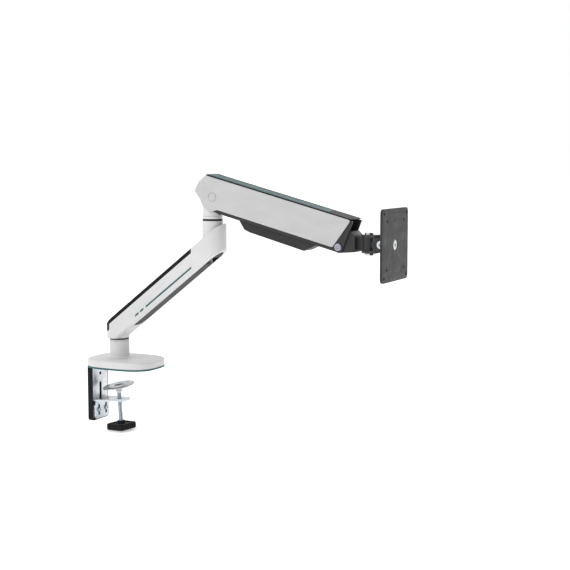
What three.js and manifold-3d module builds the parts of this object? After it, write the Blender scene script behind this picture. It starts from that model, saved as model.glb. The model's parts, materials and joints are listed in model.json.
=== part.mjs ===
// Spring-balanced desk arm for a display, with a clamp for the desk's edge.
// Millimetres. X runs forwards over the desk, towards the display; Y is across; Z is up.
// The origin is on the column's axis, on the face that rests on the desk.
import * as THREE from 'three';
import { mergeVertices } from 'three/addons/utils/BufferGeometryUtils.js';
import Module from 'manifold-3d';

const wasm = await Module();
wasm.setup();
const degrees = THREE.MathUtils.degToRad;

// ---------- driving dimensions ----------
const GAP = 0.3;                     // play between neighbouring pieces
const REACH = 400;                   // longer than any cut has to be

// base and column
const BASE = { centreX: 13.3, halfLength: 66, halfWidth: 50.5, power: 3.1, top: 16, edge: 3 };
const ACCENT_TOP = 3.4;
const COLUMN_RADIUS = 17.5;
const POST_RADIUS = 11.7;
const COLUMN_TOP = 46.7;
const LOWER_RING = [49.2, 51.6];     // friction ring under the lower arm

// clamp under the desk
const PLATE_FACE = -42;              // the raised land on the upright plate that meets the desk's edge
const LAND_HEIGHT = 0.4;
const PLATE_THICK = 3.5;
const PLATE_HALF = 23;
const PLATE_BOTTOM = -95;
const COVER_BACK = -52.2;
const COVER_HALF = 25;
const JAW_TILT = 3.5;                // upward set of the lower jaw
const JAW_ROOT = -60.5;
const JAW_TIP = 19;
const SCREW_X = -1.5;
const SCREW_RADIUS = 4;
const PRESS_RADIUS = 28.5;
const PRESS_HEIGHT = 20.5;           // press plate above the jaw, along the screw
const PRESS_TILT = [7.5, -4];      // how the loose press plate leans on its ball end, about X and Y

// lower arm: a straight box beam that climbs from the column to the elbow
const ELBOW_X = 190;
const SLOPE = Math.tan(degrees(38.1));
const BEAM_TOP = 91;                 // height of the sloping top where it crosses x = 0
const BEAM_BOTTOM = 46;
const BEAM_ROUND = 6.5;              // radius along the beam's two lower edges
const BEAM_LID = 7.7;                // height of the black lid's edge
const BEAM_HALF = 22;
const SOCKET_TOP = 262.6;
const BUSH_RADIUS = 14;
const UPPER_RING = [262.9, 265.9];

// upper arm, in its own frame: u along its edges, w square to them, origin at the main pivot
const PIVOT = { x: 201.3, z: 303.2 };
const ARM_SLOPE = 14.9;              // how far the arm points down at rest
const ARM_HALF = 22;
const WALL_OUT = 20;
const WALL_IN = 17;
const ARM_TOP = 31.8;
const FRAME_FLOOR = -24;
const HEAD_PIN = { x: 428.9, z: 226.4 };
const LINK_OFFSET = { x: 2.7, z: 17.8 };   // second pivots, measured from the first ones
const SPRING_PIN = { x: 200.0, z: 288.3 };
const SPRING_W = -10;                // the spring's axis in the arm's frame
const SPRING_ENDS = [46.6, 165.4];

// head
const SWIVEL_X = 474;
const SWIVEL_BARREL = [222, 242];
const TILT = { x: 500, z: 232 };
const VESA_FACE = 518.5;
const VESA_HALF = 57.5;

// ---------- materials ----------
const finishes = {
  white: { color: 0xe6e6e6, roughness: 0.45, metalness: 0.0 },
  black: { color: 0x1d1f20, roughness: 0.5, metalness: 0.0 },
  charcoal: { color: 0x2f3131, roughness: 0.55, metalness: 0.0 },
  grey: { color: 0x565656, roughness: 0.6, metalness: 0.0 },
  darkCast: { color: 0x3b3c3b, roughness: 0.5, metalness: 0.2 },
  teal: { color: 0x2f9aa0, roughness: 0.4, metalness: 0.0 },
  zinc: { color: 0xb4bcc2, roughness: 0.32, metalness: 1.0 },
  steel: { color: 0x9a9da0, roughness: 0.35, metalness: 1.0 },
  pin: { color: 0xb7b9c6, roughness: 0.35, metalness: 0.9 },
  nylon: { color: 0xd8d4c8, roughness: 0.6, metalness: 0.0 },
  rubber: { color: 0x222323, roughness: 0.9, metalness: 0.0 },
};

// ---------- solids ----------
const arm = new THREE.Group();
arm.name = 'monitor_arm';

function addPiece(parent, name, finish, geometry) {
  const mesh = new THREE.Mesh(geometry, new THREE.MeshStandardMaterial(finishes[finish]));
  mesh.name = name;
  parent.add(mesh);
  return mesh;
}

function toSolid(geometry) {
  const bare = geometry.clone();
  bare.deleteAttribute('normal');
  bare.deleteAttribute('uv');
  const merged = mergeVertices(bare, 1e-4);
  return new wasm.Manifold(new wasm.Mesh({
    numProp: 3,
    vertProperties: Float32Array.from(merged.attributes.position.array),
    triVerts: Uint32Array.from(merged.index.array),
  }));
}

function toGeometry(solid) {
  const mesh = solid.getMesh();
  const geometry = new THREE.BufferGeometry();
  geometry.setAttribute('position', new THREE.BufferAttribute(Float32Array.from(mesh.vertProperties), 3));
  geometry.setIndex(new THREE.BufferAttribute(Uint32Array.from(mesh.triVerts), 1));
  return geometry;
}

function combine(how, first, others) {
  return toGeometry(others.reduce((solid, other) => solid[how](toSolid(other)), toSolid(first)));
}
const join = (first, ...others) => combine('add', first, others);
const cut = (first, ...others) => combine('subtract', first, others);
const common = (first, ...others) => combine('intersect', first, others);

// ---------- outlines: lists of [a, b] points, anticlockwise ----------
function arc(a, b, radius, from, to, steps) {
  return Array.from({ length: steps + 1 }, (_, i) => {
    const angle = degrees(from + ((to - from) * i) / steps);
    return [a + radius * Math.cos(angle), b + radius * Math.sin(angle)];
  });
}
const circle = (radius, a = 0, b = 0, sides = 32) => arc(a, b, radius, 0, 360 - 360 / sides, sides - 1);

function box2(aLow, aHigh, bLow, bHigh) {
  return [[aLow, bLow], [aHigh, bLow], [aHigh, bHigh], [aLow, bHigh]];
}

function roundedBox2(aLow, aHigh, bLow, bHigh, radius, steps = 5) {
  return [
    ...arc(aHigh - radius, bLow + radius, radius, -90, 0, steps),
    ...arc(aHigh - radius, bHigh - radius, radius, 0, 90, steps),
    ...arc(aLow + radius, bHigh - radius, radius, 90, 180, steps),
    ...arc(aLow + radius, bLow + radius, radius, 180, 270, steps),
  ];
}

// two round ends joined by their outer tangents
function link2([a1, b1], radius1, [a2, b2], radius2, steps = 12) {
  const span = Math.hypot(a2 - a1, b2 - b1);
  const heading = THREE.MathUtils.radToDeg(Math.atan2(b2 - b1, a2 - a1));
  const lean = THREE.MathUtils.radToDeg(Math.acos((radius1 - radius2) / span));
  return [
    ...arc(a1, b1, radius1, heading + lean, heading + 360 - lean, steps),
    ...arc(a2, b2, radius2, heading - lean, heading + lean, steps),
  ];
}

function superellipse(inset, sides = 56) {
  return Array.from({ length: sides }, (_, i) => {
    const angle = (2 * Math.PI * i) / sides;
    const [c, s] = [Math.cos(angle), Math.sin(angle)];
    const grow = (value) => Math.sign(value) * Math.abs(value) ** (2 / BASE.power);
    return [
      BASE.centreX + (BASE.halfLength - inset) * grow(c),
      (BASE.halfWidth - inset) * grow(s),
    ];
  });
}

// ---------- outlines made solid ----------
const X = new THREE.Vector3(1, 0, 0);
const Y = new THREE.Vector3(0, 1, 0);
const Z = new THREE.Vector3(0, 0, 1);
const lay = {
  x: new THREE.Matrix4().makeBasis(Y, Z, X),                    // outline in (y, z)
  y: new THREE.Matrix4().makeBasis(X, Z, Y.clone().negate()),   // outline in (x, z)
  z: new THREE.Matrix4(),                                       // outline in (x, y)
};

function prism(axis, points, low, high, holes = []) {
  const toPoints = (list) => list.map(([a, b]) => new THREE.Vector2(a, b));
  const shape = new THREE.Shape(toPoints(points));
  shape.holes = holes.map((hole) => new THREE.Path(toPoints(hole)));
  const geometry = new THREE.ExtrudeGeometry(shape, { depth: high - low, bevelEnabled: false });
  geometry.translate(0, 0, axis === 'y' ? -high : low);
  return geometry.applyMatrix4(lay[axis]);
}

const rod = (axis, radius, low, high, at = [0, 0], sides = 24) =>
  prism(axis, circle(radius, at[0], at[1], sides), low, high);

const tube = (axis, outer, inner, low, high, at = [0, 0], sides = 32) =>
  prism(axis, circle(outer, at[0], at[1], sides), low, high, [circle(inner, at[0], at[1], sides)]);

// a hexagon or a round head with its shank, one body, along an axis
function bolt(axis, at, head, shank, headSides = 6) {
  return join(
    rod(axis, head.radius, head.low, head.high, at, headSides),
    rod(axis, shank.radius, shank.low, shank.high, at, 16),
  );
}

// ---------- base ----------
function makeBase() {
  const rim = BASE.edge;
  const body = new THREE.ExtrudeGeometry(
    new THREE.Shape(superellipse(rim).map(([a, b]) => new THREE.Vector2(a, b))),
    { depth: BASE.top - rim, bevelSize: rim, bevelThickness: rim, bevelSegments: 3 },
  );
  const shell = cut(
    body,
    prism('z', box2(-REACH, REACH, -REACH, REACH), -REACH, ACCENT_TOP + GAP),
    prism('z', superellipse(rim), -REACH, BASE.top - 2.5),
    rod('z', COLUMN_RADIUS - 2.5, 0, REACH),
    prism('z', box2(PLATE_FACE - PLATE_THICK - GAP, 0, -PLATE_HALF - GAP, PLATE_HALF + GAP), 0, 5.7),
  );
  addPiece(arm, 'base_cover', 'white', shell);

  const notch = prism('z', box2(-REACH, PLATE_FACE + 1, -COVER_HALF - 0.6, COVER_HALF + 0.6), -1, 8);
  addPiece(arm, 'base_accent_ring', 'teal',
    cut(prism('z', superellipse(0.2), 0.5, ACCENT_TOP, [superellipse(3.6)]), notch));
  addPiece(arm, 'base_pad', 'rubber', cut(prism('z', superellipse(4), 0, 1.6), notch));

  const plate = prism('z', superellipse(4.2), 5.7, 10.7);
  addPiece(arm, 'base_plate', 'steel', plate);
}

function makeColumn() {
  const post = new THREE.LatheGeometry([
    [4.4, 11], [22, 11], [22, 13.2], [POST_RADIUS, 13.2], [POST_RADIUS, 65.7], [4.4, 65.7], [4.4, 11],
  ].map(([r, z]) => new THREE.Vector2(r, z)), 32);
  addPiece(arm, 'column_post', 'steel', post.rotateX(Math.PI / 2));
  addPiece(arm, 'column_sleeve', 'white',
    tube('z', COLUMN_RADIUS, 14.5, BASE.top + GAP, COLUMN_TOP, [0, 0], 48));
  addPiece(arm, 'column_collar', 'white',
    tube('z', COLUMN_RADIUS - 0.2, POST_RADIUS + 0.5, COLUMN_TOP + GAP, LOWER_RING[0] - GAP, [0, 0], 48));
  addPiece(arm, 'column_friction_ring', 'rubber',
    tube('z', COLUMN_RADIUS - 0.7, POST_RADIUS + 0.5, ...LOWER_RING, [0, 0], 48));
  addPiece(arm, 'column_washer', 'zinc', tube('z', 11.2, 4.4, 69.3, 71.3));
  addPiece(arm, 'column_bolt', 'zinc', bolt('z', [0, 0],
    { radius: 7.6, low: 71.6, high: 76.6 }, { radius: 4, low: 42, high: 71.9 }));
}

// ---------- clamp ----------
function makeClampPlate() {
  const upright = prism('x', roundedBox2(-PLATE_HALF, PLATE_HALF, PLATE_BOTTOM, 5.4, 4),
    PLATE_FACE - PLATE_THICK, PLATE_FACE - LAND_HEIGHT);
  const land = prism('x', roundedBox2(-19, 19, -56, -3, 3), PLATE_FACE - 1, PLATE_FACE);
  const flange = prism('z', box2(PLATE_FACE - 1, -12, -19, 19), 1.9, 5.4);
  addPiece(arm, 'clamp_plate', 'zinc', cut(
    join(upright, land, flange),
    rod('x', 3.2, -60, -30, [0, -16], 16),
    prism('x', roundedBox2(-3.2, 3.2, -65, -31, 3.1, 4), -60, -30),
    ...[-11, 11].map((y) => rod('x', 2.8, -60, -30, [y, -80], 16)),
  ));

  const outer = prism('x', roundedBox2(-COVER_HALF, COVER_HALF, -99, ACCENT_TOP, 5), COVER_BACK, -42.4);
  addPiece(arm, 'clamp_plate_cover', 'black', cut(
    outer,
    prism('x', roundedBox2(-PLATE_HALF - GAP, PLATE_HALF + GAP, -97, 20, 4), -50.2, -30),
  ));
}

// height of the lower jaw's top face
const jawTop = (x) => JAW_ROOT + Math.tan(degrees(JAW_TILT)) * (x - PLATE_FACE);

function makeJaw() {
  const back = PLATE_FACE + GAP;
  const thick = 3.5;
  const profile = prism('y', [
    [back, -96], [back + thick, -96], [back + thick, jawTop(back) - thick - 2],
    [back + thick + 2, jawTop(back) - thick], [JAW_TIP, jawTop(JAW_TIP) - thick],
    [JAW_TIP, jawTop(JAW_TIP)], [back + 3, jawTop(back)], [back, jawTop(back) - 3],
  ], -22, 22);
  const plan = prism('z', [
    [-60, -22], [-24, -22], [4, -14], ...arc(JAW_TIP - 13, 0, 13, -60, 60, 8), [4, 14], [-24, 22], [-60, 22],
  ], -120, -40);
  const foot = prism('x', roundedBox2(-22, 22, -96, -20, 6), -60, 40);
  const slots = [-11, 11].map((y) =>
    prism('x', roundedBox2(y - 2.8, y + 2.8, -90, -70, 2.7, 4), -60, -30));
  const screwHole = rod('z', SCREW_RADIUS + 0.4, -30, 30);
  screwHole.rotateY(degrees(-JAW_TILT)).translate(SCREW_X, 0, jawTop(SCREW_X));
  addPiece(arm, 'clamp_jaw', 'zinc', cut(common(profile, plan, foot), screwHole, ...slots));

  [-11, 11].forEach((y, i) => {
    addPiece(arm, `jaw_screw_${i + 1}`, 'zinc', bolt('x', [y, -80],
      { radius: 3.8, low: back + thick + GAP, high: back + thick + 3 },
      { radius: 2.4, low: -48.6, high: back + thick + 0.5 }, 20));
  });
}

// everything on the clamp screw shares the jaw's tilt; the group's Z is the screw's axis
function makeClampScrew() {
  const line = new THREE.Group();
  line.position.set(SCREW_X, 0, jawTop(SCREW_X));
  line.rotation.y = degrees(-JAW_TILT);
  arm.add(line);

  addPiece(line, 'jaw_nut', 'zinc', cut(
    prism('z', circle(6.6, 0, 0, 6), -7.4, -3.9),
    rod('z', SCREW_RADIUS + 0.35, -20, 0),
  ));
  addPiece(line, 'clamp_screw', 'zinc', rod('z', SCREW_RADIUS, -50, 15.5, [0, 0], 20));

  const knob = join(
    prism('z', roundedBox2(-20, 20, -20, 20, 6), -55.7, -44.3),
    rod('z', 7.2, -45, -40),
  );
  const knobMesh = addPiece(line, 'clamp_knob', 'black',
    cut(knob, rod('z', SCREW_RADIUS + GAP, -50.4, 0, [0, 0], 20)));
  knobMesh.rotation.z = degrees(-11.5);

  // cup that holds the screw's end and the plate's stem
  addPiece(line, 'press_socket', 'steel', cut(
    rod('z', 5.8, 12.6, 17.8),
    rod('z', SCREW_RADIUS + GAP, 0, 15.8, [0, 0], 20),
  ));

  const dish = new THREE.LatheGeometry([
    [0, -2.4], [8.5, -2.4], [11, -0.2], [PRESS_RADIUS - 1, -0.2], [PRESS_RADIUS, 0.6],
    [PRESS_RADIUS, 1.6], [PRESS_RADIUS - 1, 2], [10, 2], [7.5, 0], [0, 0],
  ].map(([r, z]) => new THREE.Vector2(r, z)), 48);
  const plate = addPiece(line, 'press_plate', 'zinc', dish.rotateX(Math.PI / 2));
  plate.position.z = PRESS_HEIGHT + 1.2;
  plate.rotation.set(degrees(PRESS_TILT[0]), degrees(PRESS_TILT[1]), 0);
}

// ---------- lower arm ----------
const sloped = (height, x) => [x, height + SLOPE * x];

// the beam's cross-section, open at the top, pushed along X and sheared to the slope
function roundedUnderside() {
  const [half, low, round] = [BEAM_HALF + 0.1, BEAM_BOTTOM, BEAM_ROUND];
  const section = prism('x', [
    [-half, 500], ...arc(-half + round, low + round, round, 180, 270, 6),
    ...arc(half - round, low + round, round, 270, 360, 6), [half, 500],
  ], -40, 240);
  const shear = new THREE.Matrix4().set(1, 0, 0, 0, 0, 1, 0, 0, SLOPE, 0, 1, 0, 0, 0, 0, 1);
  return section.applyMatrix4(shear);
}

function beamPlan(half, low, high) {
  return prism('z', [
    ...arc(0, 0, half, 90, 270, 16),
    ...arc(ELBOW_X + 1.8, 0, half, -90, 90, 16),
  ], low, high);
}

const INLAY = [69.3, 160.3];
const DASHES = [[47.5, 54.1], [57.8, 64.2]];
const INLAY_HEIGHT = 57.9;
const inlayOutline = (from, to, half) => [
  sloped(INLAY_HEIGHT - half, from), sloped(INLAY_HEIGHT - half, to),
  sloped(INLAY_HEIGHT + half, to), sloped(INLAY_HEIGHT + half, from),
];

function makeLowerArm() {
  const lid = BEAM_TOP - BEAM_LID;
  const lidEnd = 159.5;
  const lidRear = 64.5;                // the lid wraps down the round rear end to here
  const seat = LOWER_RING[1] + GAP;
  const side = prism('y', [
    [-19, seat], [(seat - BEAM_BOTTOM) / SLOPE, seat],
    sloped(BEAM_BOTTOM, 230), sloped(BEAM_TOP, 230), sloped(BEAM_TOP, lidEnd + GAP),
    sloped(lid - GAP, lidEnd + GAP), sloped(lid - GAP, -8 + GAP), [-8 + GAP, lidRear + 3.5],
    [-11, lidRear - GAP], [-22.2, lidRear - GAP], [-22.2, seat + 3],
  ], -BEAM_HALF, BEAM_HALF);
  const beam = common(side, beamPlan(BEAM_HALF, 40, 300), roundedUnderside());
  const whole = join(
    beam,
    rod('z', COLUMN_RADIUS, seat, 68, [0, 0], 48),
    rod('z', COLUMN_RADIUS, 215, SOCKET_TOP, [ELBOW_X, 0], 48),
  );
  const channel = (low, high, from, to, half) => prism('y', [
    sloped(low, from), sloped(low, to), sloped(high, to), sloped(high, from),
  ], -half, half);
  const recesses = [INLAY, ...DASHES].flatMap(([from, to]) => [-1, 1].map((facing) => {
    const middle = facing * BEAM_HALF;
    return prism('y', inlayOutline(from - 0.4, to + 0.4, 1.9), middle - 0.8, middle + 0.8);
  }));
  addPiece(arm, 'lower_arm_body', 'white', cut(
    whole,
    rod('z', BUSH_RADIUS + GAP, 0, 66, [0, 0], 32),
    rod('z', 4.8, 0, 80),
    rod('z', 12.3, 69, 140),
    rod('z', BUSH_RADIUS + GAP, 225, 300, [ELBOW_X, 0], 32),
    rod('z', 4.8, 200, 300, [ELBOW_X, 0]),
    rod('z', 12.3, 150, 222, [ELBOW_X, 0]),
    channel(BEAM_BOTTOM - 20, BEAM_BOTTOM + 11, 37.4, 197, 15.3),
    channel(BEAM_BOTTOM + 18, 100, 24, 150, 16),
    ...recesses,
  ));

  const lidSide = prism('y', [
    [-22.2, lidRear], [-11, lidRear], [-8, lidRear + 4], sloped(lid, -8),
    sloped(lid, lidEnd), sloped(BEAM_TOP, lidEnd), sloped(BEAM_TOP, -22.2),
  ], -BEAM_HALF, BEAM_HALF);
  const hollow = prism('y', [
    [-20, 50], [lidEnd - 3, 50], sloped(BEAM_TOP - 2.8, lidEnd - 3), sloped(BEAM_TOP - 2.8, -20),
  ], -BEAM_HALF, BEAM_HALF);
  addPiece(arm, 'lower_arm_lid', 'black', cut(
    common(lidSide, beamPlan(BEAM_HALF, 40, 300)),
    common(hollow, beamPlan(BEAM_HALF - 2.2, 40, 300)),
  ));

  const coverPlan = prism('z', [
    [37.8, -7], [50, -15], [177, -15], [181, -12], [181, 12], [177, 15], [50, 15], [37.8, 7],
  ], 0, 300);
  addPiece(arm, 'lower_arm_cable_cover', 'grey',
    common(channel(BEAM_BOTTOM + 0.4, BEAM_BOTTOM + 3, 37.8, 181, 15), coverPlan));

  [['right', -1], ['left', 1]].forEach(([name, facing]) => {
    const low = Math.min(facing * 21.5, facing * 22.05);
    addPiece(arm, `lower_arm_inlay_${name}`, 'teal',
      prism('y', inlayOutline(...INLAY, 1.55), low, low + 0.55));
  });

  addPiece(arm, 'swivel_bush', 'nylon',
    tube('z', BUSH_RADIUS, POST_RADIUS + GAP, seat + GAP, 65.7));
}

// ---------- elbow ----------
function makeElbow() {
  const at = [ELBOW_X, 0];
  addPiece(arm, 'elbow_bush', 'nylon', tube('z', BUSH_RADIUS, POST_RADIUS + GAP, 225.3, 262.3, at));
  addPiece(arm, 'elbow_ring', 'rubber', tube('z', 17, POST_RADIUS + 0.5, ...UPPER_RING, at, 48));
  addPiece(arm, 'elbow_collar', 'white', tube('z', 17.1, POST_RADIUS + 0.5, 266.2, 270.6, at, 48));
  addPiece(arm, 'elbow_washer', 'zinc', tube('z', 11.2, 4.4, 219.4, 221.7, at));
  addPiece(arm, 'elbow_bolt', 'zinc', bolt('z', at,
    { radius: 7.6, low: 214, high: 219.1 }, { radius: 4, low: 218.9, high: 248 }));

  const tower = join(
    rod('z', 16.6, 270.9, 298, at, 48),
    rod('z', POST_RADIUS, 226, 272, at),
    prism('y', link2([PIVOT.x, PIVOT.z], 14, [linkRear.x, linkRear.z], 8), -15.5, 15.5),
  );
  addPiece(arm, 'knuckle', 'white', cut(
    tower,
    prism('y', box2(187.5, 240, 273, 340), -6.6, 6.6),
    rod('y', 5.4, -30, 30, [PIVOT.x, PIVOT.z]),
    rod('y', 3.3, -15, 15, [linkRear.x, linkRear.z], 16),
    rod('y', 3.3, -15, 15, [SPRING_PIN.x, SPRING_PIN.z], 16),
    rod('z', 4.4, 220, 252, at),
  ));
  addPiece(arm, 'link_pin_rear', 'steel', rod('y', 3, -14.6, 14.6, [linkRear.x, linkRear.z], 16));
  addPiece(arm, 'spring_pin', 'steel', rod('y', 3, -14.6, 14.6, [SPRING_PIN.x, SPRING_PIN.z], 16));
}

const linkRear = { x: PIVOT.x + LINK_OFFSET.x, z: PIVOT.z + LINK_OFFSET.z };
const linkFront = { x: HEAD_PIN.x + LINK_OFFSET.x, z: HEAD_PIN.z + LINK_OFFSET.z };

// ---------- upper arm ----------
const upper = new THREE.Group();
upper.position.set(PIVOT.x, 0, PIVOT.z);
upper.rotation.y = degrees(ARM_SLOPE);
arm.add(upper);

// a point of the side view in the arm's own frame
function inArm({ x, z }) {
  const [c, s] = [Math.cos(degrees(ARM_SLOPE)), Math.sin(degrees(ARM_SLOPE))];
  return [c * (x - PIVOT.x) - s * (z - PIVOT.z), s * (x - PIVOT.x) + c * (z - PIVOT.z)];
}

function makeFrame() {
  const [pinU, pinW] = inArm(HEAD_PIN);
  const outline = [
    [253.2, 31.2], [-19, 31.2], [-27.6, 18], [-31.2, 4], [-30, 0],
    ...arc(0, 0, 22, 208, 275, 8), [16, FRAME_FLOOR],
    ...arc(pinU, pinW, pinW - FRAME_FLOOR, -90, 8, 8),
  ];
  const floor = join(
    prism('z', box2(33, 228, -WALL_IN - 1, WALL_IN + 1), FRAME_FLOOR, FRAME_FLOOR + 2.5),
    prism('x', box2(-WALL_IN - 1, WALL_IN + 1, FRAME_FLOOR + 1, -3.6), 200, 204),
    prism('x', box2(-WALL_IN - 1, WALL_IN + 1, 25, 31), 60, 66),
    prism('x', box2(-WALL_IN - 1, WALL_IN + 1, 25, 31), 205, 211),
  );
  addPiece(upper, 'arm_frame', 'darkCast', cut(
    join(
      prism('y', outline, WALL_IN, WALL_OUT),
      prism('y', outline, -WALL_OUT, -WALL_IN),
      floor,
    ),
    rod('y', 5.3, -30, 30),
    rod('y', 4.3, -30, 30, [pinU, pinW]),
    rod('x', 4.4, 190, 210, [0, SPRING_W], 16),
  ));
}

const panelOutline = () => [
  ...arc(246, ARM_TOP - 3, 3, 0, 90, 3), [-21.5, ARM_TOP], [-31, 19], [-34.7, 5], [-34.3, 0.5],
  ...arc(0, 0, 23.2, 206, 307.5, 10),
  ...arc(228.5, -15.4, 3, -90, -18, 3),
];

function makeCovers() {
  [['right', -1], ['left', 1]].forEach(([name, facing]) => {
    const span = (from, to) => (facing > 0 ? [from, to] : [-to, -from]);
    addPiece(upper, `side_cover_${name}`, 'white',
      prism('y', panelOutline(), ...span(WALL_OUT + GAP, ARM_HALF), [circle(7.3, 0, 0, 24)]));
    addPiece(upper, `pivot_cap_${name}`, 'white', rod('y', 7, ...span(WALL_OUT + GAP, 21.8)));
    addPiece(upper, `head_pin_cap_${name}`, 'pin',
      rod('y', 6, ...span(WALL_OUT + GAP, 21.9), inArm(HEAD_PIN)));
  });

  const top = prism('z', roundedBox2(-21, 250, -21.8, 21.8, 2, 3), ARM_TOP + GAP, ARM_TOP + 2);
  addPiece(upper, 'arm_top_cover', 'black',
    cut(top, prism('z', box2(-18.4, 206.4, -14.3, 14.3), ARM_TOP + 1.1, 50)));
  addPiece(upper, 'arm_top_inlay', 'teal',
    prism('z', box2(-18, 206, -14, 14), ARM_TOP + 1.4, ARM_TOP + 1.95));
  addPiece(upper, 'arm_rear_cover', 'white', prism('y', [
    [-21.4, ARM_TOP], [-31, 19], [-34.7, 5], [-34.5, 3], [-31.8, 3], [-32, 4.6], [-28.5, 18.4],
    [-19.8, 31.4],
  ], -WALL_OUT, WALL_OUT));

  const trough = prism('y', [
    [56, -24.3], [69, -36.6], [80, -38.4], [182, -39.6], [201, -24.3],
  ], -17, 17);
  const inside = prism('y', [
    [62, -20], [71.4, -34.8], [81, -36.4], [181, -37.6], [195, -20],
  ], -15, 15);
  addPiece(upper, 'arm_cable_cover', 'charcoal', cut(trough, inside));
}

function makeSpring() {
  addPiece(upper, 'main_pivot_pin', 'steel', rod('y', 5, -19.8, 19.8));
  addPiece(upper, 'head_pin', 'steel', rod('y', 4, -19.8, 19.8, inArm(HEAD_PIN)));

  const eye = prism('y', [
    [-4.5, -19.5], [-3, -21], [8.5, -21], [20, -15.5], [36, -15.5], [36, -4], [10, -6.2],
    [-3, -6.2], [-4.5, -7.7],
  ], -6, 6);
  const [pinU] = inArm(SPRING_PIN);
  addPiece(upper, 'spring_carriage', 'steel', cut(
    join(
      eye,
      prism('x', roundedBox2(-15.5, 15.5, -18.6, -1.8, 3, 3), 34, 42),
      rod('x', 4.6, 41, 46.2, [0, SPRING_W], 16),
    ),
    prism('y', roundedBox2(pinU - 3.65, pinU + 3.65, -18.5, -8.6, 3.6, 5), -10, 10),
  ));

  class Helix extends THREE.Curve {
    getPoint(t, target = new THREE.Vector3()) {
      const turns = 9;
      const angle = 2 * Math.PI * turns * t;
      const along = THREE.MathUtils.lerp(SPRING_ENDS[0] + 1.4, SPRING_ENDS[1] - 1.4, t);
      return target.set(along, 6.6 * Math.cos(angle), SPRING_W + 6.6 * Math.sin(angle));
    }
  }
  const wire = new THREE.Shape(circle(1.3, 0, 0, 6).map(([a, b]) => new THREE.Vector2(a, b)));
  addPiece(upper, 'spring', 'steel', new THREE.ExtrudeGeometry(wire, {
    steps: 108, extrudePath: new Helix(), bevelEnabled: false,
  }));
  addPiece(upper, 'spring_seat', 'steel', cut(
    prism('x', roundedBox2(-14, 14, -19.5, -2.6, 3, 3), 166, 172),
    rod('x', 4.4, 160, 180, [0, SPRING_W], 16),
  ));
  addPiece(upper, 'tension_screw', 'zinc', bolt('x', [0, SPRING_W],
    { radius: 5.6, low: 204.3, high: 209 }, { radius: 4, low: 56, high: 204.5 }));
}

function makeLink() {
  const rear = inArm(linkRear);
  const front = inArm(linkFront);
  addPiece(upper, 'parallel_link', 'darkCast', cut(
    join(
      prism('y', link2(rear, 4, front, 4, 6), -4, 4),
      rod('y', 6.5, -4, 4, rear),
      rod('y', 6.5, -4, 4, front),
    ),
    rod('y', 3.4, -10, 10, rear, 16),
    rod('y', 3.4, -10, 10, front, 16),
  ));
}

// ---------- head ----------
function makeHeadBracket() {
  const pin = [HEAD_PIN.x, HEAD_PIN.z];
  const top = [linkFront.x, linkFront.z];
  const [low, high] = SWIVEL_BARREL;
  const ear = prism('y', link2(pin, 9.5, top, 8), -16.5, 16.5);
  const web = prism('y', [
    [HEAD_PIN.x, HEAD_PIN.z - 9.5], [456, 219], [456, 246], [450, 252], [linkFront.x, 252],
  ], -16.5, 16.5);
  const neck = prism('z', box2(450, SWIVEL_X, -8, 8), low, high);
  addPiece(arm, 'head_bracket', 'darkCast', cut(
    join(ear, web, neck, rod('z', 11, low, high, [SWIVEL_X, 0], 32)),
    rod('y', 4.3, -30, 30, pin),
    rod('y', 3.3, -30, 30, top, 16),
    prism('y', box2(400, 440.5, 233.2, 270), -4.8, 4.8),
    rod('z', 5.3, 200, 260, [SWIVEL_X, 0]),
  ));
  addPiece(arm, 'link_pin_front', 'steel', rod('y', 3, -16.2, 16.2, top, 16));
}

function makeHead() {
  const at = [SWIVEL_X, 0];
  const [low, high] = SWIVEL_BARREL;
  const lug = (from, to) => join(
    rod('z', 12, from, to, at, 32),
    prism('z', box2(SWIVEL_X, 488, -12, 12), from, to),
  );
  const ears = [-1, 1].map((side) => prism('y', link2([494.5, TILT.z], 11, [TILT.x, TILT.z], 11),
    side > 0 ? 9.4 : -14, side > 0 ? 14 : -9.4));
  addPiece(arm, 'swivel_yoke', 'darkCast', cut(
    join(
      lug(high + 0.4, high + 4.4),
      lug(low - 4.4, low - 0.4),
      prism('x', box2(-14, 14, low - 4.4, high + 4.4), 486, 489.5),
      ...ears,
    ),
    rod('z', 5.3, 200, 260, at),
    rod('x', 11.4, 470, 486, [0, TILT.z], 32),
    rod('y', 4.3, -30, 30, [TILT.x, TILT.z]),
  ));
  addPiece(arm, 'swivel_bolt', 'zinc', bolt('z', at,
    { radius: 7, low: high + 4.7, high: high + 8 }, { radius: 5, low: low - 9, high: high + 4.8 }));

  addPiece(arm, 'tilt_block', 'darkCast', cut(
    join(
      rod('y', 10, -9, 9, [TILT.x, TILT.z], 32),
      rod('x', 9, TILT.x, 512.4, [0, TILT.z], 32),
    ),
    rod('y', 4.3, -30, 30, [TILT.x, TILT.z]),
    rod('x', 3.4, 504.6, 520, [0, TILT.z]),
  ));
  addPiece(arm, 'tilt_bolt', 'zinc', bolt('y', [TILT.x, TILT.z],
    { radius: 6.5, low: -18, high: -14.3 }, { radius: 4, low: -14.5, high: 19 }));
}

function makeVesaPlate() {
  const [y, z] = [0, TILT.z];
  const holes = [37.5, 50].flatMap((reach) =>
    [[-1, -1], [1, -1], [1, 1], [-1, 1]].map(([a, b]) => circle(2.6, y + a * reach, z + b * reach, 16)));
  const plate = prism('x', roundedBox2(-VESA_HALF, VESA_HALF, z - VESA_HALF, z + VESA_HALF, 7),
    514.5, VESA_FACE, holes);
  addPiece(arm, 'vesa_plate', 'darkCast', cut(
    plate,
    rod('x', 3.4, 500, 530, [y, z]),
    rod('x', 9, 516, 530, [y, z], 32),
  ));
  addPiece(arm, 'rotation_bolt', 'zinc', bolt('x', [y, z],
    { radius: 8.4, low: 516.3, high: 518.2 }, { radius: 3, low: 506, high: 516.5 }, 32));
}

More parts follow.
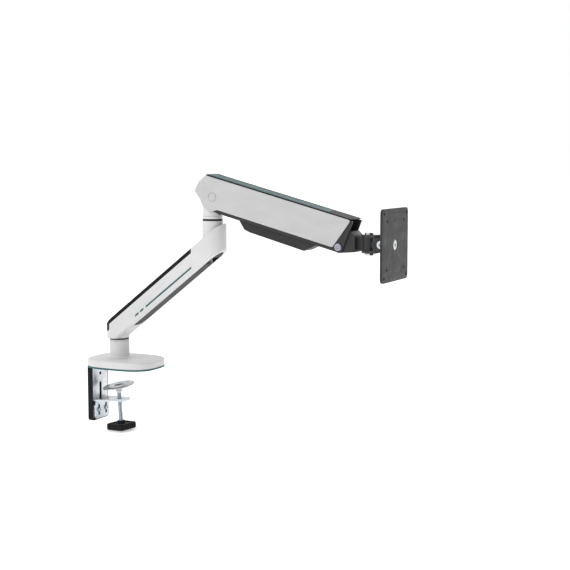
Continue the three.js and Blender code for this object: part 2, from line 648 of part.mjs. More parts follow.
makeBase();
makeColumn();
makeClampPlate();
makeJaw();
makeClampScrew();
makeLowerArm();
makeElbow();
makeFrame();
makeCovers();
makeSpring();
makeLink();
makeHeadBracket();
makeHead();
makeVesaPlate();

export default arm;
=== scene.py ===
import json
import math

import bmesh
import bpy
from mathutils import Matrix, Vector


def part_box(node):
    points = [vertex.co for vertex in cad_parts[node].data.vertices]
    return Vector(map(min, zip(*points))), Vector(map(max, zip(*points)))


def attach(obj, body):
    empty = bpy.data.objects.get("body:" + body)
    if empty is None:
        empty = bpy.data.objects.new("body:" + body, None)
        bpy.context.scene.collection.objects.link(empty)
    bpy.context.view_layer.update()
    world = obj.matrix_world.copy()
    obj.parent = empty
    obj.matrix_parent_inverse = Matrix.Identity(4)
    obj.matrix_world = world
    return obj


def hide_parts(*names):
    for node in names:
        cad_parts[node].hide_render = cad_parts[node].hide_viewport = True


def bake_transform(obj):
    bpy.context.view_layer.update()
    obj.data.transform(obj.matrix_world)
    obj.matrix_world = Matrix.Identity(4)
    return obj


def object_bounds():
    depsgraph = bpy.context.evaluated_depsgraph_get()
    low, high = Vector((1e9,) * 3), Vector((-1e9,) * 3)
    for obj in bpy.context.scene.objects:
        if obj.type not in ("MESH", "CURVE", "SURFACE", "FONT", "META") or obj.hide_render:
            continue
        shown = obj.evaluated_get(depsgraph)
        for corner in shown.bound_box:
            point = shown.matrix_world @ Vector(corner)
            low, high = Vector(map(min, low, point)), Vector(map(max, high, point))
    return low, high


# Looks for the desk-clamped display arm. Metres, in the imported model's frame:
# X forwards over the desk, Z up, origin on the column's axis at the desk's surface.

MM = 0.001

# camera
CAMERA_AT = (1.1778, -1.7882, 0.3669)
CAMERA_PITCH = 84.02
CAMERA_TURN = 25.48
LENS = 76.17

# shapes
BEAM_SLOPE = math.tan(math.radians(38.1))
INLAY_RISE = 57.9                    # height of the inlay's line where it crosses x = 0, in mm
BEAM_RISE = 46.0                     # the same for the beam's underside
DASHES = ((47.5, 54.1), (57.8, 64.2))
DASH_HALF_WIDTH = 1.55
THREAD_PITCH = 1.25
KNOB_TURN = -11.5                    # how far the knob is turned on its screw at rest, in degrees
PRESS_RISE = 21.7                    # the press plate's top above the screw's origin, in mm
PRESS_TILT = (7.5, -4)               # the press plate's lean about X, then about Y, in degrees
FLAT_ANGLE = 0.6                     # faces that meet at less than this many degrees become one

# looks
COAT_ROUGHNESS = 0.12
FLOOR_GLOW = 0.42

# studio
FLOOR_REACH = 30                     # half the floor's width, in metres
FLOOR_GAP = 0.5                      # from the lowest point at rest down to the floor, in mm

camera = bpy.data.objects.new("camera", bpy.data.cameras.new("camera"))
camera.location = CAMERA_AT
camera.rotation_euler = (math.radians(CAMERA_PITCH), 0, math.radians(CAMERA_TURN))
camera.data.lens = LENS
camera.data.sensor_width = 36
bpy.context.collection.objects.link(camera)
bpy.context.scene.camera = camera

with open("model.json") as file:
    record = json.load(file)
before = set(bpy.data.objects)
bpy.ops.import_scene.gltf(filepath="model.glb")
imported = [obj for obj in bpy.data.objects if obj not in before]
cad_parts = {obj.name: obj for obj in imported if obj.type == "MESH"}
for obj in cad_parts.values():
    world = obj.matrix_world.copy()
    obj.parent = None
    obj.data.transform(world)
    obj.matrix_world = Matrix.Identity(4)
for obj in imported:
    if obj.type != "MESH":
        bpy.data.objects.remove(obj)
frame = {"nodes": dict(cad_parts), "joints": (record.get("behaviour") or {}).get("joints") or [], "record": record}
cad_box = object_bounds()
record = frame["record"]
joints = {joint["name"]: joint for joint in frame["joints"]}
body_of_node = {
    node: body for body, nodes in record["behaviour"]["bodies"].items() for node in nodes
}
slot_of_node = {part["node"]: part["material_slot"] for part in record["subparts"]}


# ---------- materials ----------
class Surface:
    """A Principled material whose colour, roughness and bump come from layered noise."""

    def __init__(self, name, roughness, metallic=0.0, coat=0.0, specular=0.5):
        self.material = bpy.data.materials.new(name)
        self.material.use_nodes = True
        self.tree = self.material.node_tree
        self.shader = self.tree.nodes["Principled BSDF"]
        self.shader.inputs["Metallic"].default_value = metallic
        self.shader.inputs["Specular IOR Level"].default_value = specular
        self.shader.inputs["Coat Weight"].default_value = coat
        self.shader.inputs["Coat Roughness"].default_value = COAT_ROUGHNESS
        self.shader.inputs["Roughness"].default_value = roughness
        self.place = self.add("ShaderNodeTexCoord").outputs["Object"]
        self.bump_from = None

    def add(self, kind, **settings):
        node = self.tree.nodes.new(kind)
        for key, value in settings.items():
            setattr(node, key, value)
        return node

    def link(self, source, target):
        self.tree.links.new(source, target)

    def stretched(self, scale):
        mapping = self.add("ShaderNodeMapping")
        mapping.inputs["Scale"].default_value = scale
        self.link(self.place, mapping.inputs["Vector"])
        return mapping.outputs["Vector"]

    def noise(self, scale, detail=3.0, stretch=(1, 1, 1), roughness=0.55):
        node = self.add("ShaderNodeTexNoise")
        node.inputs["Scale"].default_value = scale
        node.inputs["Detail"].default_value = detail
        node.inputs["Roughness"].default_value = roughness
        self.link(self.stretched(stretch), node.inputs["Vector"])
        return node.outputs["Fac"]

    def spread(self, source, low, high, start=0.3, end=0.7):
        node = self.add("ShaderNodeMapRange")
        node.inputs["From Min"].default_value = start
        node.inputs["From Max"].default_value = end
        node.inputs["To Min"].default_value = low
        node.inputs["To Max"].default_value = high
        self.link(source, node.inputs["Value"])
        return node.outputs["Result"]

    def ramp(self, source, stops):
        node = self.add("ShaderNodeValToRGB")
        elements = node.color_ramp.elements
        for index, (position, colour) in enumerate(stops):
            element = elements[index] if index < 2 else elements.new(position)
            element.position = position
            element.color = (*colour, 1)
        self.link(source, node.inputs["Fac"])
        return node.outputs["Color"]

    def blend(self, factor, source, colour):
        """Towards a plain colour. The node's colours are inputs 6 and 7, and the result is output 2."""
        node = self.add("ShaderNodeMix", data_type="RGBA")
        self.link(factor, node.inputs["Factor"])
        self.link(source, node.inputs[6])
        node.inputs[7].default_value = (*colour, 1)
        return node.outputs[2]

    def worn_edges(self, colour, worn, amount):
        """Rubbed paler along the outer edges, in patches."""
        pointiness = self.add("ShaderNodeNewGeometry").outputs["Pointiness"]
        edge = self.spread(pointiness, 0, 1, start=0.53, end=0.6)
        patches = self.spread(self.noise(90, 4), 0, amount, start=0.45, end=0.65)
        both = self.add("ShaderNodeMath", operation="MULTIPLY")
        self.link(edge, both.inputs[0])
        self.link(patches, both.inputs[1])
        return self.blend(both.outputs[0], colour, worn)

    def colour(self, source):
        self.link(source, self.shader.inputs["Base Color"])

    def roughness(self, source):
        self.link(source, self.shader.inputs["Roughness"])

    def bump(self, source, depth_mm):
        node = self.add("ShaderNodeBump")
        node.inputs["Distance"].default_value = depth_mm * MM
        self.link(source, node.inputs["Height"])
        if self.bump_from:
            self.link(self.bump_from, node.inputs["Normal"])
        self.bump_from = node.outputs["Normal"]
        self.link(self.bump_from, self.shader.inputs["Normal"])


def painted(name, pale, deep, roughness, worn, metallic=0.0, peel=0.05, specular=0.5):
    """Powder coat: orange-peel skin, slow tone drift and rubbed edges."""
    skin = Surface(name, roughness, metallic, coat=0.05, specular=specular)
    tone = skin.ramp(skin.noise(14, 5), ((0.35, deep), (0.65, pale)))
    skin.colour(skin.worn_edges(tone, worn, 0.5))
    skin.roughness(skin.spread(skin.noise(60, 6), roughness - 0.06, roughness + 0.08))
    skin.bump(skin.noise(650, 2), peel)
    skin.bump(skin.noise(2600, 2), peel * 0.3)
    return skin.material


def moulded(name, pale, deep, roughness, grain_mm=0.05, grain_scale=1500, worn=None, specular=0.5):
    """Moulded plastic with a fine spark-eroded grain and faint flow marks."""
    skin = Surface(name, roughness, specular=specular)
    tone = skin.ramp(skin.noise(22, 4, (1, 1, 2.5)), ((0.35, deep), (0.65, pale)))
    skin.colour(skin.worn_edges(tone, worn or pale, 0.6))
    skin.roughness(skin.spread(skin.noise(110, 5), roughness - 0.07, roughness + 0.09))
    skin.bump(skin.noise(grain_scale, 3), grain_mm)
    return skin.material


def zinc_plated():
    """Bright zinc over rolled steel: fine draw lines, bluish passivation and dull patches."""
    skin = Surface("zinc_plated_steel", 0.3, metallic=1.0)
    passivation = skin.ramp(
        skin.noise(26, 5, (1, 1, 0.45)),
        ((0.28, (0.40, 0.46, 0.52)), (0.5, (0.58, 0.62, 0.66)), (0.72, (0.70, 0.70, 0.67))),
    )
    dull = skin.spread(skin.noise(160, 6), 0, 0.35, 0.5, 0.75)
    skin.colour(skin.blend(dull, passivation, (0.36, 0.39, 0.43)))
    skin.roughness(skin.spread(skin.noise(75, 6, (1, 1, 0.4)), 0.2, 0.46))
    skin.bump(skin.noise(900, 3, (1, 1, 0.04)), 0.03)
    skin.bump(skin.noise(420, 3), 0.03)
    return skin.material


def turned_steel(name, pale, deep, roughness):
    """Bare metal with fine turning lines."""
    skin = Surface(name, roughness, metallic=1.0)
    skin.colour(skin.ramp(skin.noise(40, 5), ((0.3, deep), (0.7, pale))))
    skin.roughness(skin.spread(skin.noise(300, 5, (1, 0.1, 1)), roughness - 0.08, roughness + 0.12))
    skin.bump(skin.noise(1400, 2, (1, 0.06, 1)), 0.02)
    return skin.material


def teal_trim():
    """Satin tinted trim with a slow change of tone."""
    skin = Surface("teal_trim", 0.5, specular=0.12)
    deep, pale = (0.03, 0.105, 0.11), (0.042, 0.145, 0.15)
    skin.colour(skin.ramp(skin.noise(30, 3), ((0.3, deep), (0.7, pale))))
    skin.roughness(skin.spread(skin.noise(120, 4), 0.34, 0.5))
    skin.bump(skin.noise(1800, 2), 0.01)
    return skin.material


def soft_rubber():
    """Matt black rubber."""
    skin = Surface("rubber", 0.85)
    deep, pale = (0.016, 0.016, 0.017), (0.035, 0.035, 0.036)
    skin.colour(skin.ramp(skin.noise(50, 4), ((0.3, deep), (0.7, pale))))
    skin.roughness(skin.spread(skin.noise(200, 4), 0.72, 0.95))
    skin.bump(skin.noise(2000, 3), 0.05)
    return skin.material


materials = {
    "white_paint": painted(
        "white_powder_coat", pale=(0.635, 0.632, 0.635), deep=(0.59, 0.588, 0.59),
        roughness=0.42, worn=(0.7, 0.7, 0.7)),
    "white_plastic": moulded(
        "white_moulding", pale=(0.51, 0.51, 0.512), deep=(0.475, 0.475, 0.477),
        roughness=0.5, grain_mm=0.03, grain_scale=1900, worn=(0.6, 0.6, 0.6), specular=0.35),
    "black_plastic": moulded(
        "black_moulding", pale=(0.007, 0.0075, 0.0085), deep=(0.004, 0.0045, 0.005),
        roughness=0.5, worn=(0.03, 0.03, 0.032), specular=0.14),
    "charcoal_plastic": moulded(
        "charcoal_moulding", pale=(0.03, 0.03, 0.03), deep=(0.018, 0.018, 0.018),
        roughness=0.55, worn=(0.08, 0.08, 0.08), specular=0.3),
    "grey_plastic": moulded(
        "grey_moulding", pale=(0.062, 0.062, 0.062), deep=(0.045, 0.045, 0.045),
        roughness=0.65, worn=(0.1, 0.1, 0.1), specular=0.15),
    "teal_plastic": teal_trim(),
    "dark_paint": painted(
        "dark_cast_paint", pale=(0.032, 0.033, 0.032), deep=(0.019, 0.02, 0.019),
        roughness=0.5, worn=(0.12, 0.12, 0.12), metallic=0.1, peel=0.12, specular=0.3),
    "zinc_steel": zinc_plated(),
    "plain_steel": turned_steel(
        "plain_steel", pale=(0.5, 0.51, 0.52), deep=(0.33, 0.34, 0.35), roughness=0.34),
    "pin_metal": turned_steel(
        "lavender_anodised", pale=(0.4, 0.405, 0.48), deep=(0.29, 0.3, 0.37), roughness=0.4),
    "nylon": moulded(
        "nylon", pale=(0.62, 0.59, 0.52), deep=(0.5, 0.48, 0.42), roughness=0.5, grain_mm=0.03),
    "rubber": soft_rubber(),
}


# ---------- mesh building ----------
def finish_piece(mesh, name, body, slot, nodes=(), smooth_angle=32):
    """Makes the mesh a piece of the part. With no body, the piece is left unattached."""
    if not mesh.has_custom_normals:
        mesh.set_sharp_from_angle(angle=math.radians(smooth_angle))
        mesh.polygons.foreach_set("use_smooth", [True] * len(mesh.polygons))
    mesh.materials.clear()
    mesh.materials.append(materials[slot])
    piece = bpy.data.objects.new(name, mesh)
    bpy.context.collection.objects.link(piece)
    if body:
        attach(piece, body)
    if nodes:
        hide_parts(*nodes)
    return piece


def bevelled(mesh, width_mm, segments, angle=28):
    """Rounds the edges that are sharper than the angle, and evens out the shading of flat faces."""
    mesh.set_sharp_from_angle(angle=math.radians(angle))
    mesh.polygons.foreach_set("use_smooth", [True] * len(mesh.polygons))
    holder = bpy.data.objects.new("holder", mesh)
    bpy.context.collection.objects.link(holder)
    bevel = holder.modifiers.new("round", "BEVEL")
    bevel.width = width_mm * MM
    bevel.segments = segments
    bevel.limit_method = "ANGLE"
    bevel.angle_limit = math.radians(angle)
    bevel.use_clamp_overlap = True
    bevel.miter_outer = "MITER_ARC"
    bevel.harden_normals = True
    graph = bpy.context.evaluated_depsgraph_get()
    result = bpy.data.meshes.new_from_object(holder.evaluated_get(graph))
    bpy.data.objects.remove(holder)
    return result


def refine(node, width_mm, segments):
    """The node's own shape with its sharp edges rounded."""
    source = frame["nodes"][node]
    shape = bmesh.new()
    shape.from_mesh(source.data)
    shape.transform(source.matrix_world)
    bmesh.ops.remove_doubles(shape, verts=shape.verts, dist=0.01 * MM)
    bmesh.ops.dissolve_limit(
        shape, angle_limit=math.radians(FLAT_ANGLE), verts=shape.verts, edges=shape.edges)
    mesh = bpy.data.meshes.new(node + "_shape")
    shape.to_mesh(mesh)
    shape.free()
    mesh = bevelled(mesh, width_mm, segments)
    finish_piece(mesh, node + "_skin", body_of_node[node], slot_of_node[node], [node])


def upright(origin, axis):
    """The matrix that lays a local Z along axis, with the local X kept near the part's X."""
    z = Vector(axis).normalized()
    helper = Vector((1, 0, 0)) if abs(z.x) < 0.9 else Vector((0, 1, 0))
    x = (helper - z * helper.dot(z)).normalized()
    basis = Matrix((x, z.cross(x), z)).transposed().to_4x4()
    return Matrix.Translation(origin) @ basis


def loft(rings, place, sides, closed=False):
    """A skin over rings of (radius, height) in mm. A radius may be a function of angle and height."""
    shape = bmesh.new()
    loops = []
    for radius, height in rings:
        loop = []
        for step in range(sides):
            angle = 2 * math.pi * step / sides
            reach = radius(angle, height) if callable(radius) else radius
            loop.append(shape.verts.new(
                (reach * math.cos(angle) * MM, reach * math.sin(angle) * MM, height * MM)))
        loops.append(loop)
    pairs = list(zip(loops, loops[1:]))
    if closed:
        pairs.append((loops[-1], loops[0]))
    for lower, upper in pairs:
        for step in range(sides):
            after = (step + 1) % sides
            shape.faces.new((lower[step], lower[after], upper[after], upper[step]))
    if not closed:
        shape.faces.new(reversed(loops[0]))
        shape.faces.new(loops[-1])
    bmesh.ops.recalc_face_normals(shape, faces=shape.faces)
    shape.transform(place)
    mesh = bpy.data.meshes.new("loft")
    shape.to_mesh(mesh)
    shape.free()
    return mesh


def hexagon(across):
    """Radius of a hexagon, by angle, from its distance across flats."""
    def radius(angle, _height):
        return across / 2 / math.cos((angle % (math.pi / 3)) - math.pi / 6)
    return radius


def extruded(outlines, place, low, high):
    """Closed prisms over outlines in the local X and Y, in mm, all in one mesh."""
    shape = bmesh.new()
    for outline in outlines:
        bottom = [shape.verts.new((x * MM, y * MM, low * MM)) for x, y in outline]
        top = [shape.verts.new((x * MM, y * MM, high * MM)) for x, y in outline]
        shape.faces.new(reversed(bottom))
        shape.faces.new(top)
        for step in range(len(outline)):
            after = (step + 1) % len(outline)
            shape.faces.new((bottom[step], bottom[after], top[after], top[step]))
    bmesh.ops.recalc_face_normals(shape, faces=shape.faces)
    shape.transform(place)
    mesh = bpy.data.meshes.new("extrusion")
    shape.to_mesh(mesh)
    shape.free()
    return mesh


def centre_of(node):
    low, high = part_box(node)
    return (low + high) / 2


# frames of the tilted groups, taken from the joints
screw_frame = upright(joints["clamp_turn"]["pos_m"], joints["clamp_turn"]["axis"])
along_arm = Vector(joints["spring_carriage_slide"]["axis"]).normalized()
square_to_arm = Vector((-along_arm.z, 0, along_arm.x))
# local X runs along the arm, local Y up from it and local Z towards the right-hand side
arm_frame = (Matrix.Translation(joints["arm_lift"]["pos_m"])
             @ Matrix((along_arm, square_to_arm, Vector((0, -1, 0)))).transposed().to_4x4())
# local X runs forwards, local Y up and local Z towards the right-hand side
side_frame = Matrix(((1, 0, 0), (0, 0, 1), (0, -1, 0))).transposed().to_4x4()


# ---------- base and column ----------
def make_column_sleeve():
    """The sleeve flares into the base with a small fillet."""
    low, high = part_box("column_sleeve")
    bottom, top = low.z / MM, high.z / MM
    outer = (high.x - low.x) / 2 / MM
    flare = 5.0
    fillet = [
        (outer + flare * (1 - math.sin(turn)), bottom + flare * (1 - math.cos(turn)))
        for turn in (math.radians(15 * step) for step in range(7))
    ]
    rings = [(outer - 3, bottom), *fillet, (outer, top - 0.8), (outer - 0.25, top - 0.25),
             (outer - 0.8, top), (outer - 3, top)]
    mesh = loft(rings, Matrix.Identity(4), 96, closed=True)
    finish_piece(mesh, "column_sleeve_skin", "base", "white_paint", ["column_sleeve"])


# ---------- clamp ----------
def make_clamp_screw():
    """A rolled thread with plain ends."""
    major, depth = 4.0, 0.68
    start, end = -50.0, 15.5
    thread_start, thread_end, run_out = -40.0, 10.0, 1.2
    rings_per_turn = 6

    def thread(angle, height):
        phase = (height / THREAD_PITCH - angle / (2 * math.pi)) % 1
        lead_in = max(0, (height - thread_start) / run_out)
        lead_out = max(0, (thread_end - height) / run_out)
        fade = min(1, lead_in, lead_out)
        return major - depth * fade * (1 - abs(2 * phase - 1))

    count = int((end - start) / THREAD_PITCH * rings_per_turn)
    rings = [(thread, start + (end - start) * step / count) for step in range(count + 1)]
    mesh = loft(rings, screw_frame, 24)
    finish_piece(mesh, "clamp_screw_skin", "clamp_screw", "zinc_steel", ["clamp_screw"], 60)


def make_clamp_knob():
    """A square knob with round corners, finger grooves on its sides and a sunk top round the hub."""
    half, corner = 20.0, 6.0
    groove_pitch, groove_reach = 4.6, 11.5
    bottom, top = -55.7, -44.3

    def side(inset, groove):
        """The radius of the rounded square, set in from its full size and cut by the finger grooves."""
        def radius(angle, _height):
            c, s = abs(math.cos(angle)), abs(math.sin(angle))
            flat = (half - inset) / max(c, s)
            round_at = half - corner
            along = round_at * (c + s)
            inside = along * along - 2 * round_at * round_at + (corner - inset) ** 2
            rounded = along + math.sqrt(max(inside, 0))
            across = min(c, s) * flat
            reach = rounded if across > round_at else flat
            wave = 1 - math.cos(2 * math.pi * across / groove_pitch)
            return reach - (0.5 * groove * wave if across < groove_reach else 0)
        return radius

    square = (
        (6.0, 0, bottom + 0.8), (5.2, 0, bottom), (2.2, 0, bottom), (0.9, 0, bottom + 0.5),
        (0.2, 0.5, bottom + 1.6), (0.1, 0.9, bottom + 3.5), (0.1, 0.9, top - 3.2),
        (0.2, 0.5, top - 1.6), (0.9, 0, top - 0.5), (2.2, 0, top), (4.4, 0, top), (5.0, 0, top - 0.6),
        (5.2, 0, top - 1.6),
    )
    hub = [
        (10.0, top - 1.8), (8.2, top - 0.6), (7.4, top + 1.2), (7.2, -41.0), (6.6, -40.2), (5.6, -40.0),
    ]
    rings = [(side(inset, groove), height) for inset, groove, height in square] + hub
    mesh = loft(rings, screw_frame @ Matrix.Rotation(math.radians(KNOB_TURN), 4, "Z"), 128)
    finish_piece(mesh, "clamp_knob_skin", "clamp_screw", "black_plastic", ["clamp_knob"], 40)


def make_press_plate():
    """A pressed steel dish with a rolled rim and two raised rings."""
    about_x, about_y = (math.radians(turn) for turn in PRESS_TILT)
    place = (screw_frame @ Matrix.Translation((0, 0, PRESS_RISE * MM))
             @ Matrix.Rotation(about_x, 4, "X") @ Matrix.Rotation(about_y, 4, "Y"))
    rings = [
        (3.0, -2.4), (7.6, -2.4), (8.4, -2.1), (10.4, -0.5), (11.4, -0.2), (17.0, -0.2), (18.0, 0.1),
        (19.2, 0.1), (20.2, -0.2), (27.1, -0.2), (28.1, 0.1), (28.5, 0.8), (28.5, 1.4), (28.0, 1.9),
        (27.3, 2.0), (26.1, 1.6), (20.6, 1.6), (19.6, 2.0), (17.8, 2.0), (16.8, 1.6), (12.4, 1.6),
        (10.6, 1.5), (9.0, 0.9), (8.0, 0.2), (6.8, 0.0), (3.0, 0.0),
    ]
    mesh = loft(rings, place, 96)
    finish_piece(mesh, "press_plate_skin", "press_plate", "zinc_steel", ["press_plate"])


def socket_screw(node, body, place, head_r, head_low, head_high, shank_r, shank_end, key):
    """A round head with a chamfered rim and a hexagon socket, on a plain shank. The local Z points out."""
    sink = head_high - 0.6 * (head_high - head_low)
    rings = [
        (shank_r - 0.4, shank_end), (shank_r, shank_end + 0.4), (shank_r, head_low),
        (head_r - 0.2, head_low), (head_r, head_low + 0.2), (head_r, head_high - 0.6),
        (head_r - 0.15, head_high - 0.2), (head_r - 0.6, head_high), (key * 0.62, head_high),
        (hexagon(key), head_high - 0.25), (hexagon(key), sink), (0.6, sink - 0.2),
    ]
    finish_piece(loft(rings, place, 72), node + "_skin", body, "zinc_steel", [node], 30)


def make_screws():
    """Every screw head that shows gets its socket."""
    for node in ("jaw_screw_1", "jaw_screw_2"):
        low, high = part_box(node)
        place = upright((0, centre_of(node).y, centre_of(node).z), (1, 0, 0))
        socket_screw(node, "base", place, head_r=3.8, head_low=high.x / MM - 2.7,
                     head_high=high.x / MM, shank_r=2.4, shank_end=low.x / MM, key=3.0)
    _low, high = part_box("tilt_bolt")
    place = upright((centre_of("tilt_bolt").x, 0, centre_of("tilt_bolt").z), (0, -1, 0))
    socket_screw("tilt_bolt", "swivel_yoke", place, head_r=6.4, head_low=14.3, head_high=18.0,
                 shank_r=4.0, shank_end=-high.y / MM, key=5.0)
    low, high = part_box("swivel_bolt")
    place = upright((centre_of("swivel_bolt").x, 0, 0), (0, 0, 1))
    socket_screw("swivel_bolt", "swivel_yoke", place, head_r=7.0, head_low=high.z / MM - 3.3,
                 head_high=high.z / MM, shank_r=5.0, shank_end=low.z / MM, key=5.0)
    low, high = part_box("rotation_bolt")
    place = upright((0, 0, centre_of("rotation_bolt").z), (1, 0, 0))
    socket_screw("rotation_bolt", "tilt_block", place, head_r=8.4, head_low=high.x / MM - 1.9,
                 head_high=high.x / MM, shank_r=3.0, shank_end=low.x / MM, key=5.0)


def make_nuts():
    """Lock nuts on the far ends of the tilt and swivel bolts."""
    tilt_seat = 0.0144
    swivel_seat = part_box("swivel_bolt")[0].z + 4.1 * MM
    across_flats = 13.4
    tilt = centre_of("tilt_bolt")
    swivel = centre_of("swivel_bolt")
    for name, collar, place in (
        ("tilt_nut", 4.5, upright((tilt.x, tilt_seat, tilt.z), (0, 1, 0))),
        ("swivel_nut", 5.4, upright((swivel.x, 0, swivel_seat), (0, 0, -1))),
    ):
        rings = [
            (collar, 0), (6.0, 0), (hexagon(across_flats), 0.6), (hexagon(across_flats), 2.9),
            (6.4, 3.5), (collar + 0.2, 3.7), (collar - 0.2, 3.4),
        ]
        finish_piece(loft(rings, place, 72), name, "swivel_yoke", "zinc_steel", (), 30)


def make_stop_block():
    """A small black block between the jaw's upright leg and the plate cover, on the near side."""
    back, front, bottom, top = -42.2, -39.0, -70.5, -63.5
    sunk, proud = 0.8, 1.0
    near = -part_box("clamp_plate")[0].y / MM
    outline = [(back, bottom), (front, bottom), (front, top), (back, top)]
    mesh = bevelled(extruded([outline], side_frame, near - sunk, near + proud), 0.3, 2)
    finish_piece(mesh, "jaw_stop_block", "base", "black_plastic")


# ---------- lower arm ----------
def make_cable_cover_tip():
    """The grey tip of the underside cover, on the solid end beyond the cables' way out."""
    start, centre, radius = 197.4, 195.0, 14.0
    sunk, proud = -0.5, 0.3
    half_turn = math.acos((start - centre) / radius)
    turns = [half_turn * (step / 6 - 1) for step in range(13)]
    plan = [(centre + radius * math.cos(turn), radius * math.sin(turn)) for turn in turns]
    along_beam = Matrix((
        (1, 0, 0, 0), (0, 1, 0, 0), (BEAM_SLOPE, 0, 1, BEAM_RISE * MM), (0, 0, 0, 1)))
    mesh = bevelled(extruded([plan], along_beam, sunk, proud), 0.15, 2)
    finish_piece(mesh, "cable_cover_tip", "lower_arm", "grey_plastic")


def make_cable_way_painted_shade():
    """Black sheets that paint the shade inside the cables' way out: a roof and two walls inside the beam's
    channel.
    """
    half, start, end = 15.2, 181.6, 196.6
    thickness, gap = 0.6, 0.1
    bottom, top = BEAM_RISE + 0.6, BEAM_RISE + 10.8
    under_roof = top - thickness - gap

    def band(low, high):
        corners = ((start, low), (end, low), (end, high), (start, high))
        return [(x, rise + BEAM_SLOPE * x) for x, rise in corners]

    # each black sheet is painted shade for the dark hollow of the opening
    for name, outline, left, right in (
        ("roof", band(top - thickness, top), -half, half),
        ("near", band(bottom, under_roof), half - thickness, half),
        ("far", band(bottom, under_roof), -half, thickness - half),
    ):
        mesh = bevelled(extruded([outline], side_frame, left, right), 0.1, 2)
        finish_piece(mesh, f"cable_way_painted_shade_{name}", "lower_arm", "black_plastic")


def make_dashes():
    """Two short inlays below the long one on each side."""
    low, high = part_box("lower_arm_inlay_right")
    mirror = Matrix.Scale(-1, 4, (0, 1, 0))
    down, up = -DASH_HALF_WIDTH, DASH_HALF_WIDTH
    for side, place in (("right", side_frame), ("left", mirror @ side_frame)):
        for index, (start, end) in enumerate(DASHES, 1):
            outline = [
                (x, INLAY_RISE + BEAM_SLOPE * x + rise)
                for x, rise in ((start, down), (end, down), (end, up), (start, up))
            ]
            mesh = bevelled(extruded([outline], place, -high.y / MM, -low.y / MM), 0.12, 2)
            finish_piece(mesh, f"inlay_dash_{side}_{index}", "lower_arm", "teal_plastic")


# ---------- upper arm ----------
def make_cover_ribs():
    """Slanting ribs on both flanks of the cable cover, with a bead below them."""
    pitch, count, first = 9.0, 13, 74
    foot_rise, tip_rise = -35.8, -27.6
    width, lean = 1.1, 7.5
    ribs = []
    for index in range(count):
        foot = first + pitch * index
        tip = foot + lean
        ribs.append([
            (foot, foot_rise), (foot + width, foot_rise), (tip + width, tip_rise), (tip, tip_rise)])
    bead = [(70.5, -36.2), (80.2, -37.7), (182.3, -38.9), (182.3, -38.0), (80.4, -36.8), (71.2, -35.5)]
    for side, low, high in (("right", 16.9, 17.5), ("left", -17.5, -16.9)):
        mesh = bevelled(extruded(ribs, arm_frame, low, high), 0.15, 2)
        finish_piece(mesh, f"cable_cover_ribs_{side}", "upper_arm", "charcoal_plastic")
        mesh = bevelled(extruded([bead], arm_frame, low, high), 0.15, 2)
        finish_piece(mesh, f"cable_cover_bead_{side}", "upper_arm", "grey_plastic")


def make_spring():
    """The balancing spring as a smooth coil, from the carriage to its seat in the arm."""
    turns, wire, coil = 9, 1.3, 6.6
    seat, carriage = 164.0, 48.0
    axis_rise = -10.0
    steps_per_turn = 28
    steps = turns * steps_per_turn
    curve = bpy.data.curves.new("spring_line", "CURVE")
    curve.dimensions = "3D"
    curve.bevel_depth = wire * MM
    curve.bevel_resolution = 3
    curve.use_fill_caps = True
    line = curve.splines.new("POLY")
    line.points.add(steps)
    for step in range(steps + 1):
        share = step / steps
        angle = 2 * math.pi * turns * share
        local = Vector((carriage + (seat - carriage) * share,
                        axis_rise + coil * math.sin(angle), -coil * math.cos(angle))) * MM
        line.points[step].co = (*(arm_frame @ local), 1)
    holder = bpy.data.objects.new("spring_holder", curve)
    bpy.context.collection.objects.link(holder)
    graph = bpy.context.evaluated_depsgraph_get()
    mesh = bpy.data.meshes.new_from_object(holder.evaluated_get(graph))
    bpy.data.objects.remove(holder)
    spring = finish_piece(mesh, "spring_skin", None, "plain_steel", ["spring"], 60)
    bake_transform(spring)


def make_pivot_caps():
    """Thin white discs over the main pivot, and the pale domed ends of the head pin."""
    caps = (
        ("pivot_cap", "arm_lift", "white_plastic", [
            (6.0, 20.3), (7.0, 20.3), (7.0, 21.7), (6.8, 21.95), (6.4, 22.05), (5.6, 22.05),
            (5.3, 21.85), (4.9, 21.85), (4.6, 22.05), (0.8, 22.1)]),
        ("head_pin_cap", "head_level", "pin_metal", [
            (5.0, 20.3), (6.0, 20.3), (6.0, 21.3), (5.8, 21.7), (5.2, 22.0), (3.4, 22.2),
            (2.9, 22.1), (2.6, 21.6), (0.6, 21.5)]),
    )
    for side, outwards in (("right", -1), ("left", 1)):
        for cap, joint, slot, rings in caps:
            node = f"{cap}_{side}"
            place = upright(joints[joint]["pos_m"], (0, outwards, 0))
            finish_piece(loft(rings, place, 72), node + "_skin", "upper_arm", slot, [node], 24)


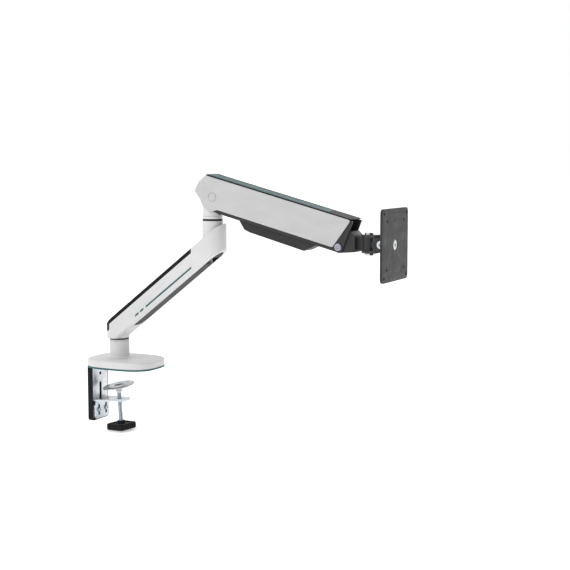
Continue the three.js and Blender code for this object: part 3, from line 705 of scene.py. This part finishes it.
# ---------- nodes that keep their own shape: edge radius in mm, steps round the edge ----------
EDGES = {
    "base_cover": (0.8, 3), "base_accent_ring": (0.3, 2), "base_pad": (0.3, 2), "base_plate": (0.4, 2),
    "column_collar": (0.3, 2), "column_friction_ring": (0.4, 2), "column_post": (0.3, 2),
    "column_washer": (0.2, 2), "column_bolt": (0.3, 2), "clamp_plate": (0.5, 3),
    "clamp_plate_cover": (1.6, 4), "clamp_jaw": (0.7, 3), "jaw_nut": (0.4, 2), "press_socket": (0.5, 3),
    "lower_arm_body": (1.1, 3), "lower_arm_lid": (0.6, 3), "lower_arm_cable_cover": (0.5, 2),
    "lower_arm_inlay_left": (0.12, 2), "lower_arm_inlay_right": (0.12, 2), "swivel_bush": (0.2, 2),
    "elbow_bush": (0.2, 2), "elbow_ring": (0.4, 2), "elbow_collar": (0.35, 2), "elbow_washer": (0.2, 2),
    "elbow_bolt": (0.3, 2), "knuckle": (0.6, 3), "link_pin_rear": (0.3, 2), "spring_pin": (0.3, 2),
    "arm_frame": (0.5, 3), "side_cover_left": (0.8, 4), "side_cover_right": (0.8, 4),
    "arm_top_cover": (0.5, 3), "arm_top_inlay": (0.12, 2), "arm_rear_cover": (0.6, 3),
    "arm_cable_cover": (1.0, 4), "main_pivot_pin": (0.4, 2), "head_pin": (0.4, 2),
    "spring_seat": (0.5, 2), "tension_screw": (0.3, 2), "spring_carriage": (0.5, 2),
    "parallel_link": (0.8, 3), "head_bracket": (1.0, 4), "link_pin_front": (0.4, 2),
    "swivel_yoke": (0.7, 3), "tilt_block": (0.6, 3), "vesa_plate": (0.6, 3),
}


# ---------- studio ----------
def make_studio():
    """A white world, a pale floor and three soft lights."""
    low, _high = cad_box
    world = bpy.data.worlds.new("studio")
    bpy.context.scene.world = world
    world.use_nodes = True
    tree = world.node_tree
    background = tree.nodes["Background"]
    background.inputs["Color"].default_value = (1, 1, 1, 1)
    # white all round, falling off towards the display's side
    direction = tree.nodes.new("ShaderNodeTexCoord").outputs["Generated"]
    parts = tree.nodes.new("ShaderNodeSeparateXYZ")
    tree.links.new(direction, parts.inputs[0])
    falloff = tree.nodes.new("ShaderNodeMapRange")
    for socket, value in (("From Min", 0.1), ("From Max", 0.8), ("To Min", 1.0), ("To Max", 0.42)):
        falloff.inputs[socket].default_value = value
    tree.links.new(parts.outputs["X"], falloff.inputs["Value"])
    tree.links.new(falloff.outputs["Result"], background.inputs["Strength"])

    floor_mesh = bpy.data.meshes.new("floor")
    corners = [(x * FLOOR_REACH, y * FLOOR_REACH, 0) for x, y in ((-1, -1), (1, -1), (1, 1), (-1, 1))]
    floor_mesh.from_pydata(corners, [], [(0, 1, 2, 3)])
    floor = bpy.data.objects.new("floor", floor_mesh)
    floor.location.z = low[2] - FLOOR_GAP * MM
    pale = Surface("pale_floor", 0.9)
    pale.colour(pale.ramp(pale.noise(3, 2), ((0.3, (0.9, 0.9, 0.9)), (0.7, (0.92, 0.92, 0.92)))))
    pale.shader.inputs["Emission Color"].default_value = (1, 1, 1, 1)
    pale.shader.inputs["Emission Strength"].default_value = FLOOR_GLOW
    floor_mesh.materials.append(pale.material)
    bpy.context.collection.objects.link(floor)

    for name, place, aim, size, watts in (
        ("key", (-1.2, -2.0, 2.2), (0.2, 0, 0.15), 1.4, 18),
        ("fill", (2.4, -0.9, 1.0), (0.3, 0, 0.15), 1.6, 1.5),
        ("back", (0.4, 2.4, 1.8), (0.2, 0, 0.15), 1.6, 10),
    ):
        light = bpy.data.objects.new(name, bpy.data.lights.new(name, "AREA"))
        light.data.energy = watts
        light.data.size = size
        light.location = place
        light.rotation_euler = (Vector(place) - Vector(aim)).to_track_quat("Z", "Y").to_euler()
        bpy.context.collection.objects.link(light)
    bpy.context.scene.view_settings.view_transform = "Standard"


make_studio()
make_column_sleeve()
make_clamp_screw()
make_clamp_knob()
make_press_plate()
make_screws()
make_nuts()
make_stop_block()
make_cable_cover_tip()
make_cable_way_painted_shade()
make_dashes()
make_cover_ribs()
make_spring()
make_pivot_caps()
for node_name, (edge, steps) in EDGES.items():
    refine(node_name, edge, steps)
